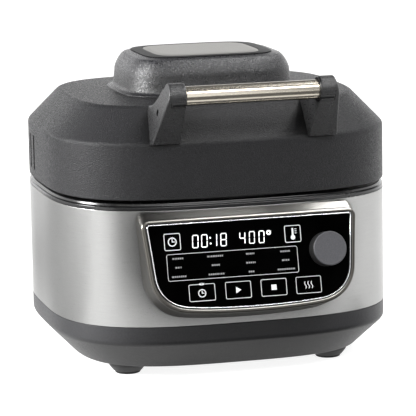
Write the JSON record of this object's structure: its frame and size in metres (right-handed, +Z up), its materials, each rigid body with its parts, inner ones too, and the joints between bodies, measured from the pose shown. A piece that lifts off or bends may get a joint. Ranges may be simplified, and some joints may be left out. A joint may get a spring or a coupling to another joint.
{
  "type": "hinged-lid electric multi-cooker",
  "caption": "Countertop electric cooker: rounded-square base with steel band, sloping touch panel and dial, lift-out pot and grill plate, and a hinged motor lid with a bar handle.",
  "frame": {"origin": "centre of the whole object's bounding box, on the surface that the feet stand on", "axes": "+Z up, -Y towards the user (control panel and handle), +X to the user's right; the hinge line runs along X at the rear"},
  "size_m": [0.3468, 0.3708, 0.312],
  "materials": {
    "lid_plastic": "fine moulded texture, matte",
    "base_plastic": "smooth satin",
    "deck_plastic": "semi-gloss",
    "gloss_black": "gloss",
    "dark_plastic": "matte",
    "knob_plastic": "fine matte with a thin bevel",
    "band_steel": "horizontal brushing, satin",
    "bar_steel": "polished along the bar, warm satin",
    "inner_steel": "plain rolled sheet",
    "chrome_trim": "bright line",
    "panel_glass": "black touch overlay, high gloss, with printed marks",
    "well_aluminium": "drawn sheet, satin",
    "cast_aluminium": "cast and turned",
    "nonstick_coating": "dark non-stick coating with fine flecks",
    "heater_sheath": "heat-dulled sheath",
    "rubber": "matte",
    "circuit_board": "solder mask",
    "copper_winding": "varnished winding and core"
  },
  "bodies": {
    "root": {"base_housing": "base_plastic", "bottom_cover": "dark_plastic", "steel_band": "band_steel", "deck_ring": "deck_plastic", "cooking_well": "well_aluminium", "heat_shield": "inner_steel", "heating_plate": "cast_aluminium", "sensor_bracket": "inner_steel", "sensor_spring": "inner_steel", "power_board": "circuit_board", "power_transformer": "copper_winding", "cord_gland": "dark_plastic", "panel_bezel": "band_steel", "panel_trim": "chrome_trim", "panel_glass": "panel_glass", "display_module": "dark_plastic", "control_board": "circuit_board", "dial_encoder": "cast_aluminium", "foot_pad_front_left": "rubber", "cover_screw_front_left": "inner_steel", "foot_pad_front_right": "rubber", "cover_screw_front_right": "inner_steel", "foot_pad_rear_left": "rubber", "cover_screw_rear_left": "inner_steel", "foot_pad_rear_right": "rubber", "cover_screw_rear_right": "inner_steel", "hinge_mount_left": "base_plastic", "hinge_pin_left": "inner_steel", "hinge_mount_right": "base_plastic", "hinge_pin_right": "inner_steel"},
    "knob": {"dial_knob": "knob_plastic", "dial_shaft": "cast_aluminium"},
    "pot": {"inner_pot": "nonstick_coating"},
    "grill": {"grill_plate": "nonstick_coating"},
    "sensor": {"sensor_cap": "well_aluminium"},
    "fan": {"motor_shaft": "inner_steel", "convection_fan": "inner_steel", "cooling_fan": "dark_plastic"},
    "lid": {"lid_shell": "lid_plastic", "vent_grille_left": "dark_plastic", "vent_grille_right": "dark_plastic", "dome_cover": "lid_plastic", "dome_trim": "gloss_black", "dome_plate": "band_steel", "handle_tube": "bar_steel", "handle_bracket_left": "lid_plastic", "handle_bracket_right": "lid_plastic", "handle_cap_left": "gloss_black", "handle_cap_right": "gloss_black", "handle_screw_left": "dark_plastic", "handle_screw_right": "dark_plastic", "lid_liner": "inner_steel", "lid_gasket": "rubber", "top_heater": "heater_sheath", "heater_guard": "inner_steel", "motor_bracket": "inner_steel", "motor_stator": "cast_aluminium", "hinge_arm_left": "lid_plastic", "hinge_arm_right": "lid_plastic"}
  },
  "joints": [
    {"name": "lid_hinge", "type": "hinge", "parent": "root", "child": "lid", "pos_m": [0, 0.17746, 0.181], "axis": [-1, 0, 0], "range_deg": [0, 90]},
    {"name": "fan_spin", "type": "hinge", "parent": "lid", "child": "fan", "pos_m": [0, 0.01096, 0.24], "axis": [0, 0, 1], "continuous": true},
    {"name": "knob_turn", "type": "hinge", "parent": "root", "child": "knob", "pos_m": [0.0744, -0.16511, 0.12988], "axis": [0, -0.9724, 0.2334], "continuous": true},
    {"name": "pot_lift", "type": "slide", "parent": "root", "child": "pot", "axis": [0, 0, 1], "range_m": [0, 0.02]},
    {"name": "grill_lift", "type": "slide", "parent": "pot", "child": "grill", "axis": [0, 0, 1], "range_m": [0, 0.08]},
    {"name": "sensor_press", "type": "slide", "parent": "root", "child": "sensor", "axis": [0, 0, 1], "range_m": [-0.002, 0], "stiffness_N_per_m": 500, "springref_m": 0.004, "deforming": ["sensor_spring"]}
  ]
}
